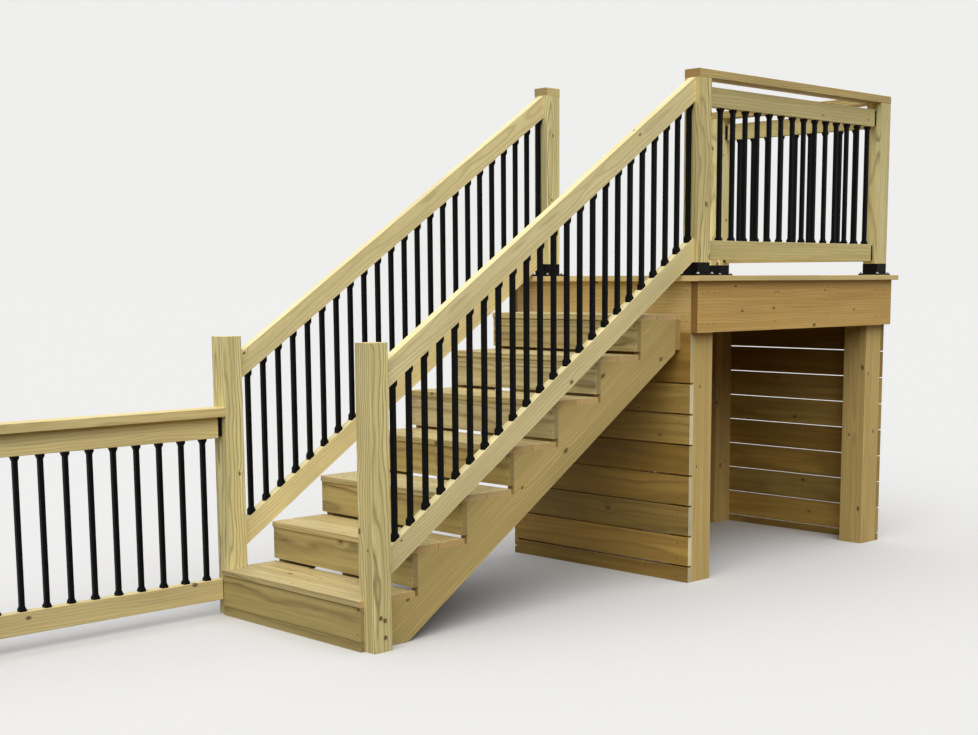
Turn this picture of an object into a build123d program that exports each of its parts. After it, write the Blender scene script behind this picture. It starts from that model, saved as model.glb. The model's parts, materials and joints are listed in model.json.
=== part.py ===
"""Wooden deck stairs: a straight flight up to a landing, with baluster guards.

Sizes are millimetres and +Z is up. The flight climbs toward +Y. Setting-out sizes run
from the right ends of the treads (x), the face of the lowest riser (y) and the floor (z),
and each board is moved so that the origin is the middle of the footprint on the floor.
"""
import os
from math import atan, cos

from build123d import *

os.makedirs("parts", exist_ok=True)

# Flight
rise = 176.0
first_rise = 200.0
run = 267.5
tread_count = 7
stair_width = 931.0
nosing = 6.0
tread_tuck = 9.9
riser_gap = 13.6
foot_strip = 36.6
strip_gap = 2.5
stringer_heel = 237.0
hanger_high = 139.7

# Boards
board_thick = 25.4
board_wide = 139.7
board_gap = 4.0
joint_gap = 0.8
frame_thick = 38.1
frame_high = 235.0
eased = 2.5

# Landing
landing_long = 1641.4
landing_out_right = 60.0
landing_out_left = 141.0
landing_post = 139.7
deck_overhang = 25.4
deck_board_count = 9
joist_count = 4
skirt_foot = 70.9
skirt_board = 135.5
skirt_count = 6
skirt_gap = 8.0
wall_foot = 34.0
wall_board = 136.0
wall_count = 7
wall_gap = 5.5

# Guards
post = 88.9
newel_out = 60.0
newel_front = 19.0
newel_above = 80.0
base_high = 60.0
lower_guard_high = 889.0
guard_post_set = 45.4
guard_back_set = 20.9
corner_post_set = 81.0
rail_thick = 38.1
rail_high = 88.9
rail_drop = 34.0
guard_foot = 72.0
bracket_long = 23.0
bracket_trim = 6.0
baluster = 19.0
baluster_corner = 1.2
guard_first = 119.0
guard_last = 62.2
guard_count = 14
back_guard_end = 95.1
back_guard_count = 9
stair_rail_up = 830.1
stair_rail_clear = 5.2
stair_first = 56.1
stair_last = 21.0
stair_count = 23
lower_clear = 1422.7
lower_rail_foot = 69.0
lower_first = 90.0
lower_last = 84.7
lower_count = 13

# Levels
deck_top = first_rise + tread_count * rise
deck_under = deck_top - board_thick
frame_low = deck_under - frame_high
slope = rise / run
rail_deep = rail_high / cos(atan(slope))

# Places along the flight and the landing
flight_end = tread_count * run
landing_front = flight_end + frame_thick
landing_back = landing_front + landing_long
deck_front = landing_front - deck_overhang
deck_back = landing_back + deck_overhang

# Places across
x_right = landing_out_right
x_left = -stair_width - landing_out_left
rim_right_out = x_right + frame_thick
rim_left_out = x_left - frame_thick
deck_right = rim_right_out + deck_overhang
deck_left = rim_left_out - deck_overhang

# Posts of the guards, as low and high values on each axis
newel_y = (newel_front, newel_front + post)
right_post_x = (newel_out - post, newel_out)
left_post_x = (-stair_width - newel_out, -stair_width - newel_out + post)
stair_post_y = (landing_front + guard_post_set, landing_front + guard_post_set + post)
back_post_y = (deck_back - guard_back_set - post, deck_back - guard_back_set)
corner_post_x = (left_post_x[0] - corner_post_set, left_post_x[0] - corner_post_set + post)
lower_post_y = (newel_front - lower_clear - post, newel_front - lower_clear)

centre_x = (deck_left + deck_right) / 2
centre_y = (lower_post_y[0] + deck_back) / 2


def board(x, y, z):
    """Add one straight board between low and high values on each axis."""
    middle_x = (x[0] + x[1]) / 2 - centre_x
    middle_y = (y[0] + y[1]) / 2 - centre_y
    middle_z = (z[0] + z[1]) / 2
    with Locations((middle_x, middle_y, middle_z)):
        Box(x[1] - x[0], y[1] - y[0], z[1] - z[0])


def tube(x, y, z):
    """Add one upright square baluster around (x, y) between a low and a high value of z."""
    with BuildSketch(Plane.XY.offset(z[0])) as footprint:
        with Locations((x - centre_x, y - centre_y)):
            RectangleRounded(baluster, baluster, baluster_corner)
    extrude(footprint.sketch, amount=z[1] - z[0])


def side_points(points):
    """Move points of a side view, each (y, z), into the part's own frame."""
    return [(y - centre_y, z) for y, z in points]


def tread_level(step):
    """Return the height of a tread's top; step 1 is the lowest."""
    return first_rise + (step - 1) * rise


def nosing_line(y):
    """Return the height at y of the line through the front edges of the treads."""
    return first_rise + slope * (y + nosing)


def stringer_outline():
    """Return the side view of a cut stringer as (y, z) points."""
    points = [(stringer_heel, 0), (board_thick, 0)]
    for step in range(1, tread_count + 1):
        seat = tread_level(step) - board_thick
        points.append(((step - 1) * run + board_thick, seat))
        end = flight_end if step == tread_count else step * run + board_thick
        points.append((end, seat))
    points.append((flight_end, slope * (flight_end - stringer_heel)))
    return points


def stair_rail_outline(top):
    """Return the side view of a sloping rail, from its top edge above the nosing line."""
    low_y = newel_y[1]
    high_y = stair_post_y[0]
    low_z = nosing_line(low_y) + top
    high_z = nosing_line(high_y) + top
    return [(low_y, low_z), (high_y, high_z), (high_y, high_z - rail_deep), (low_y, low_z - rail_deep)]


def stair_panel_outline():
    """Return the side view of the space between the two sloping rails."""
    low_y = newel_y[1]
    high_y = stair_post_y[0]
    under = stair_rail_up - rail_deep
    over = stair_rail_clear + rail_deep
    return [
        (low_y, nosing_line(low_y) + over),
        (high_y, nosing_line(high_y) + over),
        (high_y, nosing_line(high_y) + under),
        (low_y, nosing_line(low_y) + under),
    ]


def rail_span(span):
    """Centre a rail's thickness on a post's low and high values."""
    middle = (span[0] + span[1]) / 2
    return (middle - rail_thick / 2, middle + rail_thick / 2)


# Tops of the posts, set by the sloping rails that meet them
guard_top = nosing_line(stair_post_y[0]) + stair_rail_up
newel_top = nosing_line(newel_y[1]) + stair_rail_up + newel_above

# Stringers
stringer_places = {
    "stringer_right": -frame_thick,
    "stringer_middle": -(stair_width + frame_thick) / 2,
    "stringer_left": -stair_width,
}
for stringer_name, stringer_low in stringer_places.items():
    with BuildPart() as stringer:
        with BuildSketch(Plane.YZ.offset(stringer_low - centre_x)):
            with BuildLine():
                Polyline(*side_points(stringer_outline()), close=True)
            make_face()
        extrude(amount=frame_thick)
    stringer.part.label = stringer_name
    export_step(stringer.part, f"parts/{stringer_name}.step")

# Board that hangs the stringers from the landing
hanger_top = tread_level(tread_count) - board_thick
with BuildPart() as stringer_hanger:
    board(
        (-stair_width, 0),
        (flight_end, landing_front),
        (hanger_top - hanger_high, hanger_top),
    )
stringer_hanger.part.label = "stringer_hanger"
export_step(stringer_hanger.part, "parts/stringer_hanger.step")

# Treads: two boards each, and a ripped strip behind the top one
tread_board = (run + nosing + tread_tuck - board_gap) / 2
for step in range(1, tread_count + 1):
    front = (step - 1) * run - nosing
    top = tread_level(step)
    with BuildPart() as tread:
        board((-stair_width, 0), (front, front + tread_board), (top - board_thick, top))
        second = front + tread_board + board_gap
        board((-stair_width, 0), (second, second + tread_board), (top - board_thick, top))
        if step == tread_count:
            strip = second + tread_board + board_gap
            board((-stair_width, 0), (strip, landing_front), (top - board_thick, top))
        fillet(tread.edges().filter_by(Axis.X), eased)
    tread.part.label = f"tread_{step}"
    export_step(tread.part, f"parts/tread_{step}.step")

# Risers: the lowest has a ripped strip at its foot
for step in range(1, tread_count + 1):
    face = (step - 1) * run
    top = tread_level(step) - board_thick
    with BuildPart() as riser:
        if step == 1:
            board((-stair_width, 0), (face, face + board_thick), (0, foot_strip))
            board((-stair_width, 0), (face, face + board_thick), (foot_strip + strip_gap, top))
        else:
            foot = tread_level(step - 1) + riser_gap
            board((-stair_width, 0), (face, face + board_thick), (foot, top))
    riser.part.label = f"riser_{step}"
    export_step(riser.part, f"parts/riser_{step}.step")

# Posts under the landing
landing_post_x = {
    "right": (x_right - landing_post, x_right),
    "left": (x_left, x_left + landing_post),
}
landing_post_y = {
    "front": (landing_front + board_thick, landing_front + board_thick + landing_post),
    "back": (landing_back - board_thick - landing_post, landing_back - board_thick),
}
for row_name, post_y in landing_post_y.items():
    for side_name, post_x in landing_post_x.items():
        post_name = f"landing_post_{row_name}_{side_name}"
        with BuildPart() as landing_leg:
            board(post_x, post_y, (0, deck_under))
            fillet(landing_leg.edges().filter_by(Axis.Z), 2 * eased)
        landing_leg.part.label = post_name
        export_step(landing_leg.part, f"parts/{post_name}.step")

# Side rims of the landing frame
rim_places = {
    "rim_right": (x_right, rim_right_out),
    "rim_left": (rim_left_out, x_left),
}
for rim_name, rim_x in rim_places.items():
    with BuildPart() as rim:
        board(rim_x, (landing_front, landing_back), (frame_low, deck_under))
    rim.part.label = rim_name
    export_step(rim.part, f"parts/{rim_name}.step")

# Header boards across the front and the back
header_places = {
    "front_header": (landing_front, landing_front + board_thick),
    "back_header": (landing_back - board_thick, landing_back),
}
for header_name, header_y in header_places.items():
    with BuildPart() as header:
        board((x_left, x_right), header_y, (frame_low, deck_under))
    header.part.label = header_name
    export_step(header.part, f"parts/{header_name}.step")

# Joists: one behind each header between the posts, the rest spread between
joist_first = landing_post_y["front"][1]
joist_last = landing_post_y["back"][0] - frame_thick
joist_step = (joist_last - joist_first) / (joist_count - 1)
inner_x = (landing_post_x["left"][1], landing_post_x["right"][0])
with BuildPart() as landing_joists:
    front_inner = landing_post_y["front"][0]
    back_inner = landing_post_y["back"][1]
    board(inner_x, (front_inner, front_inner + frame_thick), (frame_low, deck_under))
    board(inner_x, (back_inner - frame_thick, back_inner), (frame_low, deck_under))
    for index in range(joist_count):
        joist_y = joist_first + index * joist_step
        board((x_left, x_right), (joist_y, joist_y + frame_thick), (frame_low, deck_under))
landing_joists.part.label = "landing_joists"
export_step(landing_joists.part, "parts/landing_joists.step")

# Boards of the landing floor
deck_board = (deck_right - deck_left - (deck_board_count - 1) * board_gap) / deck_board_count
with BuildPart() as landing_boards:
    for index in range(deck_board_count):
        low = deck_left + index * (deck_board + board_gap)
        board((low, low + deck_board), (deck_front, deck_back), (deck_under, deck_top))
    fillet(landing_boards.edges().filter_by(Axis.Y), eased)
landing_boards.part.label = "landing_boards"
export_step(landing_boards.part, "parts/landing_boards.step")

# Boards that close the front under the landing
with BuildPart() as front_skirt:
    front_y = (landing_front, landing_front + board_thick)
    board((x_left, x_right), front_y, (0, skirt_foot))
    for index in range(skirt_count):
        low = skirt_foot + skirt_gap + index * (skirt_board + skirt_gap)
        board((x_left, x_right), front_y, (low, low + skirt_board))
    filler_low = skirt_foot + skirt_gap + skirt_count * (skirt_board + skirt_gap)
    board((x_left, x_right), front_y, (filler_low, frame_low - joint_gap))
    fillet(front_skirt.edges().filter_by(Axis.X), eased / 2)
front_skirt.part.label = "front_skirt"
export_step(front_skirt.part, "parts/front_skirt.step")

# Boards that close the back and the left under the landing
wall_places = {
    "back_wall": ((x_left, x_right), (landing_back - board_thick, landing_back), Axis.X),
    "left_wall": ((x_left - board_thick, x_left), (landing_front, landing_back), Axis.Y),
}
for wall_name, (wall_x, wall_y, wall_axis) in wall_places.items():
    with BuildPart() as wall:
        board(wall_x, wall_y, (0, wall_foot))
        for index in range(wall_count):
            low = wall_foot + wall_gap + index * (wall_board + wall_gap)
            board(wall_x, wall_y, (low, low + wall_board))
        last_low = wall_foot + wall_gap + wall_count * (wall_board + wall_gap)
        board(wall_x, wall_y, (last_low, frame_low - joint_gap))
        fillet(wall.edges().filter_by(wall_axis), eased / 2)
    wall.part.label = wall_name
    export_step(wall.part, f"parts/{wall_name}.step")

# Newels at the foot of the flight, notched over the lowest tread
newel_places = {
    "newel_right": (right_post_x, (0, right_post_x[1])),
    "newel_left": (left_post_x, (left_post_x[0], -stair_width)),
}
for newel_name, (upper_x, leg_x) in newel_places.items():
    with BuildPart() as newel:
        board(upper_x, newel_y, (first_rise, newel_top))
        board(leg_x, newel_y, (0, first_rise))
        upright = newel.edges().filter_by(Axis.Z).group_by(Axis.X)
        fillet(upright[0] + upright[-1], eased)
    newel.part.label = newel_name
    export_step(newel.part, f"parts/{newel_name}.step")

# Posts above the landing
guard_places = {
    "guard_post_stair_right": (right_post_x, stair_post_y),
    "guard_post_stair_left": (left_post_x, stair_post_y),
    "guard_post_corner_right": (right_post_x, back_post_y),
    "guard_post_corner_left": (corner_post_x, back_post_y),
}
for guard_name, (guard_x, guard_y) in guard_places.items():
    with BuildPart() as guard_post:
        board(guard_x, guard_y, (deck_top + base_high, guard_top))
        fillet(guard_post.edges().filter_by(Axis.Z), eased)
    guard_post.part.label = guard_name
    export_step(guard_post.part, f"parts/{guard_name}.step")

# Metal bases that hold the posts above the landing floor
with BuildPart() as post_bases:
    for guard_x, guard_y in guard_places.values():
        board(guard_x, guard_y, (deck_top, deck_top + base_high))
    fillet(post_bases.edges().filter_by(Axis.Z), eased)
post_bases.part.label = "post_bases"
export_step(post_bases.part, "parts/post_bases.step")

# Flat caps on the posts
cap_z = (guard_top, guard_top + rail_thick)
with BuildPart() as guard_cap_right:
    board(right_post_x, (stair_post_y[0], back_post_y[1]), cap_z)
    fillet(guard_cap_right.edges().filter_by(Axis.Y), eased)
guard_cap_right.part.label = "guard_cap_right"
export_step(guard_cap_right.part, "parts/guard_cap_right.step")

with BuildPart() as guard_cap_back:
    board((corner_post_x[0], right_post_x[0]), back_post_y, cap_z)
    fillet(guard_cap_back.edges().filter_by(Axis.X), eased)
guard_cap_back.part.label = "guard_cap_back"
export_step(guard_cap_back.part, "parts/guard_cap_back.step")

with BuildPart() as post_cap_left:
    board(left_post_x, stair_post_y, cap_z)
    fillet(post_cap_left.edges().filter_by(Axis.Y), eased)
post_cap_left.part.label = "post_cap_left"
export_step(post_cap_left.part, "parts/post_cap_left.step")

# Level rails of the landing guards
guard_top_z = (guard_top - rail_drop - rail_high, guard_top - rail_drop)
guard_low_z = (deck_top + guard_foot, deck_top + guard_foot + rail_high)
side_rail_x = rail_span(right_post_x)
side_rail_y = (stair_post_y[1] + bracket_long, back_post_y[0] - bracket_long)
back_rail_y = rail_span(back_post_y)
back_rail_x = (corner_post_x[1] + bracket_long, right_post_x[0] - bracket_long)
with BuildPart() as guard_rails_right:
    board(side_rail_x, side_rail_y, guard_top_z)
    board(side_rail_x, side_rail_y, guard_low_z)
    fillet(guard_rails_right.edges().filter_by(Axis.Y), eased)
guard_rails_right.part.label = "guard_rails_right"
export_step(guard_rails_right.part, "parts/guard_rails_right.step")

with BuildPart() as guard_rails_back:
    board(back_rail_x, back_rail_y, guard_top_z)
    board(back_rail_x, back_rail_y, guard_low_z)
    fillet(guard_rails_back.edges().filter_by(Axis.X), eased)
guard_rails_back.part.label = "guard_rails_back"
export_step(guard_rails_back.part, "parts/guard_rails_back.step")

# Square metal balusters of the landing guards
guard_tube_z = (guard_low_z[1], guard_top_z[0])
side_middle_x = (right_post_x[0] + right_post_x[1]) / 2
back_middle_y = (back_post_y[0] + back_post_y[1]) / 2
side_clear = back_post_y[0] - stair_post_y[1]
back_clear = right_post_x[0] - corner_post_x[1]
guard_pitch = (side_clear - guard_first - guard_last) / (guard_count - 1)
back_guard_pitch = (back_clear - 2 * back_guard_end) / (back_guard_count - 1)
with BuildPart() as guard_balusters_right:
    for index in range(guard_count):
        baluster_y = stair_post_y[1] + guard_first + index * guard_pitch
        tube(side_middle_x, baluster_y, guard_tube_z)
guard_balusters_right.part.label = "guard_balusters_right"
export_step(guard_balusters_right.part, "parts/guard_balusters_right.step")

with BuildPart() as guard_balusters_back:
    for index in range(back_guard_count):
        baluster_x = corner_post_x[1] + back_guard_end + index * back_guard_pitch
        tube(baluster_x, back_middle_y, guard_tube_z)
guard_balusters_back.part.label = "guard_balusters_back"
export_step(guard_balusters_back.part, "parts/guard_balusters_back.step")

# Sloping rails beside the flight
stair_rail_places = {
    "stair_top_rail_right": (right_post_x, stair_rail_up),
    "stair_top_rail_left": (left_post_x, stair_rail_up),
    "stair_bottom_rail_right": (right_post_x, stair_rail_clear + rail_deep),
    "stair_bottom_rail_left": (left_post_x, stair_rail_clear + rail_deep),
}
for rail_name, (rail_post_x, rail_up) in stair_rail_places.items():
    with BuildPart() as stair_rail:
        with BuildSketch(Plane.YZ.offset(rail_span(rail_post_x)[0] - centre_x)):
            with BuildLine():
                Polyline(*side_points(stair_rail_outline(rail_up)), close=True)
            make_face()
        extrude(amount=rail_thick)
    stair_rail.part.label = rail_name
    export_step(stair_rail.part, f"parts/{rail_name}.step")

# Balusters beside the flight, cut to the slope of the rails
stair_clear = stair_post_y[0] - newel_y[1]
stair_pitch = (stair_clear - stair_first - stair_last) / (stair_count - 1)
stair_baluster_places = {
    "stair_balusters_right": right_post_x,
    "stair_balusters_left": left_post_x,
}
for panel_name, panel_post_x in stair_baluster_places.items():
    panel_x = (panel_post_x[0] + panel_post_x[1]) / 2
    with BuildPart() as stair_balusters:
        for index in range(stair_count):
            baluster_y = newel_y[1] + stair_first + index * stair_pitch
            foot = nosing_line(baluster_y)
            tube(panel_x, baluster_y, (foot, foot + stair_rail_up))
        with BuildSketch(Plane.YZ.offset(panel_x - centre_x - baluster)):
            with BuildLine():
                Polyline(*side_points(stair_panel_outline()), close=True)
            make_face()
        extrude(amount=2 * baluster, mode=Mode.INTERSECT)
    stair_balusters.part.label = panel_name
    export_step(stair_balusters.part, f"parts/{panel_name}.step")

# Guard on the lower level, in line with the left side of the flight
lower_top = lower_guard_high
with BuildPart() as lower_guard_post:
    board(left_post_x, lower_post_y, (0, lower_top - rail_thick))
    fillet(lower_guard_post.edges().filter_by(Axis.Z), eased)
lower_guard_post.part.label = "lower_guard_post"
export_step(lower_guard_post.part, "parts/lower_guard_post.step")

with BuildPart() as lower_guard_cap:
    board(left_post_x, (lower_post_y[0], newel_front), (lower_top - rail_thick, lower_top))
    fillet(lower_guard_cap.edges().filter_by(Axis.Y), eased)
lower_guard_cap.part.label = "lower_guard_cap"
export_step(lower_guard_cap.part, "parts/lower_guard_cap.step")

lower_rail_x = rail_span(left_post_x)
lower_rail_y = (lower_post_y[1] + bracket_long, newel_front - bracket_long)
lower_top_z = (lower_top - rail_thick - joint_gap - rail_high, lower_top - rail_thick - joint_gap)
lower_low_z = (lower_rail_foot, lower_rail_foot + rail_high)
with BuildPart() as lower_guard_rails:
    board(lower_rail_x, lower_rail_y, lower_top_z)
    board(lower_rail_x, lower_rail_y, lower_low_z)
    fillet(lower_guard_rails.edges().filter_by(Axis.Y), eased)
lower_guard_rails.part.label = "lower_guard_rails"
export_step(lower_guard_rails.part, "parts/lower_guard_rails.step")

lower_pitch = (lower_clear - lower_first - lower_last) / (lower_count - 1)
with BuildPart() as lower_guard_balusters:
    left_middle_x = (left_post_x[0] + left_post_x[1]) / 2
    for index in range(lower_count):
        baluster_y = newel_front - lower_first - index * lower_pitch
        tube(left_middle_x, baluster_y, (lower_low_z[1], lower_top_z[0]))
lower_guard_balusters.part.label = "lower_guard_balusters"
export_step(lower_guard_balusters.part, "parts/lower_guard_balusters.step")

# Brackets that join the level rails to their posts
bracket_trim_z = {
    "guard_top": (guard_top_z[0] + bracket_trim, guard_top_z[1] - bracket_trim),
    "guard_low": (guard_low_z[0] + bracket_trim, guard_low_z[1] - bracket_trim),
    "lower_top": (lower_top_z[0] + bracket_trim, lower_top_z[1] - bracket_trim),
    "lower_low": (lower_low_z[0] + bracket_trim, lower_low_z[1] - bracket_trim),
}
with BuildPart() as rail_brackets:
    side_x = (side_rail_x[0] + bracket_trim, side_rail_x[1] - bracket_trim)
    back_y = (back_rail_y[0] + bracket_trim, back_rail_y[1] - bracket_trim)
    lower_x = (lower_rail_x[0] + bracket_trim, lower_rail_x[1] - bracket_trim)
    for level in ("guard_top", "guard_low"):
        board(side_x, (stair_post_y[1], side_rail_y[0]), bracket_trim_z[level])
        board(side_x, (side_rail_y[1], back_post_y[0]), bracket_trim_z[level])
        board((corner_post_x[1], back_rail_x[0]), back_y, bracket_trim_z[level])
        board((back_rail_x[1], right_post_x[0]), back_y, bracket_trim_z[level])
    for level in ("lower_top", "lower_low"):
        board(lower_x, (lower_post_y[1], lower_rail_y[0]), bracket_trim_z[level])
        board(lower_x, (lower_rail_y[1], newel_front), bracket_trim_z[level])
rail_brackets.part.label = "rail_brackets"
export_step(rail_brackets.part, "parts/rail_brackets.step")
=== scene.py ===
"""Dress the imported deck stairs: pine finishes, screws, baluster connectors, light and camera."""
import json
import logging
import math
from dataclasses import dataclass, replace
from enum import Enum

import bmesh
import bpy
from mathutils import Matrix, Vector

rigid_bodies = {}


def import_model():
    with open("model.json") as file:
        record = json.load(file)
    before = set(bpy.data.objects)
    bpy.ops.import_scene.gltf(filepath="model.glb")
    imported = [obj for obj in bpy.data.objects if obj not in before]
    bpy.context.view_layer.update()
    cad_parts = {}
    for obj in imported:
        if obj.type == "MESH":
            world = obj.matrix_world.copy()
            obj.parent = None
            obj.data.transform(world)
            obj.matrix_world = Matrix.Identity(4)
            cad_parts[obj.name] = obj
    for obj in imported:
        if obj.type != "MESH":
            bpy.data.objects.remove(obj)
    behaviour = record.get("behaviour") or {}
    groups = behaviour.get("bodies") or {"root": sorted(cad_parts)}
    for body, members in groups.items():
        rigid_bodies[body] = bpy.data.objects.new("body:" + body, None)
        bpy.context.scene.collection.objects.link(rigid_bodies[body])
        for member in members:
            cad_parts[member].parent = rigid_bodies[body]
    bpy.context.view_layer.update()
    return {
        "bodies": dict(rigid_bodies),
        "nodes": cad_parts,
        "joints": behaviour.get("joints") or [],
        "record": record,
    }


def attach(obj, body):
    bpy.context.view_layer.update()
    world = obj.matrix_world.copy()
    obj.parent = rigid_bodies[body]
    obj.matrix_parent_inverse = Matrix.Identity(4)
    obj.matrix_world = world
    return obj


LOG = logging.getLogger("deck_stairs")
BODY = "root"
Socket = bpy.types.NodeSocket
Spots = list[tuple[Vector, Vector]]

# Setting-out sizes of the part in millimetres, from the right ends of the treads,
# the face of the lowest riser and the lower floor
MM = 0.001
RISE = 176.0
FIRST_RISE = 200.0
RUN = 267.5
TREADS = 7
NOSING = 6.0
BOARD_WIDE = 139.7
BOARD_THICK = 25.4
BOARD_PITCH = 143.7
RAIL_HIGH = 88.9
RAIL_THICK = 38.1
GUARD_HIGH = 889.0
DECK_TOP = FIRST_RISE + TREADS * RISE
LANDING_FRONT = TREADS * RUN + RAIL_THICK
LANDING_BACK = LANDING_FRONT + 1641.4
SLOPE = RISE / RUN
PITCH_ANGLE = math.atan2(RISE, RUN)
CENTRE_X, CENTRE_Y = -506.0, 1042.4

# Places that several sub-assemblies share, as low and high values in millimetres
RIGHT_POST = (-28.9, 60.0)
LEFT_POST = (-991.0, -902.1)
CORNER_LEFT = (-1072.0, -983.1)
NEWEL = (19.0, 107.9)
STAIR_POST = (LANDING_FRONT + 45.4, LANDING_FRONT + 134.3)
BACK_POST = (LANDING_BACK + 25.4 - 109.8, LANDING_BACK + 25.4 - 20.9)
DECK_LEFT = -1135.5
RIGHT_MIDDLE = sum(RIGHT_POST) / 2
LEFT_MIDDLE = sum(LEFT_POST) / 2
UP = Vector((0, 0, 1))
FRONT, BACK = Vector((0, -1, 0)), Vector((0, 1, 0))
RIGHT, LEFT = Vector((1, 0, 0)), Vector((-1, 0, 0))

# Patterns of the pine in millimetres, along and across the fibres
WANDER_MM = (666.7, 142.86)
STREAK_MM = (769.2, 23.81)
# Real fibres are about 0.04 mm across, so these are drawn some sixty times coarser to show
FIBRE_MM = (71.43, 2.381)
# Each patch of a board of this size may hold one knot, with a radius between the two given
KNOT_PATCH_MM = (360.0, 130.0)
KNOT_RADIUS_MM = (4.5, 11.0)
KNOT_BEND_MM = 9.0
# The pith lies up to this far to either side and between these depths behind a board's middle,
# and wanders by the last value where a finish's arch is one
PITH_SIDE_MM = 70.0
PITH_BACK_MM = (35.0, 95.0)
PITH_SWAY_MM = 110.0
# Planed grain stands up less than this; it is drawn deeper, so that the light catches it
RELIEF_MM = 0.9
# How dark a growth ring is on its way from early to late wood
RING_STOPS = ((0.0, 0.2), (0.1, 0.0), (0.6, 0.12), (0.86, 1.0), (1.0, 0.2))
# Clouds of dust and the height of the orange peel on metal
DUST_MM = 111.1
PEEL_MM = 0.3

# The largest random turn of a screw head, and of a six-sided bolt head, in radians
FULL_TURN = 6.28
BOLT_TURN = 1.0
# Radius and height in millimetres along the outline of each head
SCREW_OUTLINE = [(0, -1.5), (1.8, -1.5), (2.2, 0.2), (3.7, 0.4), (4.2, 0.1), (4.2, -2.0)]
LAG_OUTLINE = [(0, -1), (9.5, -1), (9.5, 1.2), (6.5, 1.6), (6, 4.4), (0, 5)]
BOLT_OUTLINE = [(0, 0), (9.5, 0), (9.5, 1.6), (6.4, 1.6), (6.4, 6.4), (5.2, 7.4), (0, 7.4)]
SCREW_SIDES, BOLT_SIDES = 12, 6
CORNER_TRIM = 1.5


def place(x: float, y: float, z: float) -> Vector:
    """Turn a setting-out point in millimetres into the part's own frame in metres.

    Args:
        x: Distance to the right of the treads' right ends.
        y: Distance behind the lowest riser's face.
        z: Height above the lower floor.

    Returns:
        The point in metres.
    """
    return Vector((x - CENTRE_X, y - CENTRE_Y, z)) * MM


def linear(code: str) -> tuple[float, float, float, float]:
    """Turn an sRGB hex code into a linear colour.

    Args:
        code: Six hex digits.

    Returns:
        Linear red, green, blue and an alpha of one.
    """
    values = [int(code[i:i + 2], 16) / 255 for i in (0, 2, 4)]
    channels = [v / 12.92 if v <= 0.04045 else ((v + 0.055) / 1.055) ** 2.4 for v in values]
    return (channels[0], channels[1], channels[2], 1.0)


def add(
    tree: bpy.types.NodeTree,
    kind: str,
    *values: object,
    out: int | str = 0,
    links: dict[int | str, object] | None = None,
    **settings: object,
) -> Socket | None:
    """Add a node with its settings and links, and give one of its outputs.

    Args:
        tree: The node tree that gets the node.
        kind: The node's Blender type name, where a shader node's leaves out its first word.
        *values: Sockets or plain values for the first inputs, in their order.
        out: The number or name of the output that is wanted.
        links: Input numbers or names mapped to a socket or a plain value.
        **settings: Attributes of the node, such as operation or data_type.

    Returns:
        The output, or None where the node has no output.
    """
    node = tree.nodes.new(kind if "Node" in kind else "ShaderNode" + kind)
    for name, value in settings.items():
        setattr(node, name, value)
    for key, value in (dict(enumerate(values)) | (links or {})).items():
        socket = node.inputs[key]
        if isinstance(value, Socket):
            tree.links.new(value, socket)
        else:
            socket.default_value = value
    return node.outputs[out] if len(node.outputs) else None


def fresh_tree(owner: bpy.types.Material | bpy.types.World) -> bpy.types.NodeTree:
    """Switch the nodes of a material or a world on and empty its tree.

    Args:
        owner: The material or world.

    Returns:
        Its empty node tree.
    """
    owner.use_nodes = True
    owner.node_tree.nodes.clear()
    return owner.node_tree


class Grain(Enum):
    """The way a board's fibres run."""

    ALONG_X = "x"
    ALONG_Y = "y"
    ALONG_Z = "z"
    SLOPING = "slope"


@dataclass(frozen=True)
class Cells:
    """How the boards of one node are told apart, so that each has its own tree.

    The values are in millimetres from the setting-out point. Cells meet midway between boards,
    a long pitch leaves an axis whole, and shear moves each higher row back.
    """

    origin: tuple[float, float, float] = (-2000.0, -3000.0, -1000.0)
    pitch: tuple[float, float, float] = (9000.0, 9000.0, 9000.0)
    shear: float = 0.0


@dataclass(frozen=True)
class Board:
    """Where a point of the surface lies within its own board.

    The three ways are in metres from the board's middle, chance holds three random values that
    the whole board shares, and end is one on its cut ends.
    """

    along: Socket
    across: Socket
    depth: Socket
    chance: bpy.types.bpy_prop_collection
    end: Socket


@dataclass(frozen=True)
class Figure:
    """The patterns that make up the face of a pine board."""

    rings: Socket
    streak: Socket
    fibre: Socket
    cloud: Socket
    knot: Socket


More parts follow.
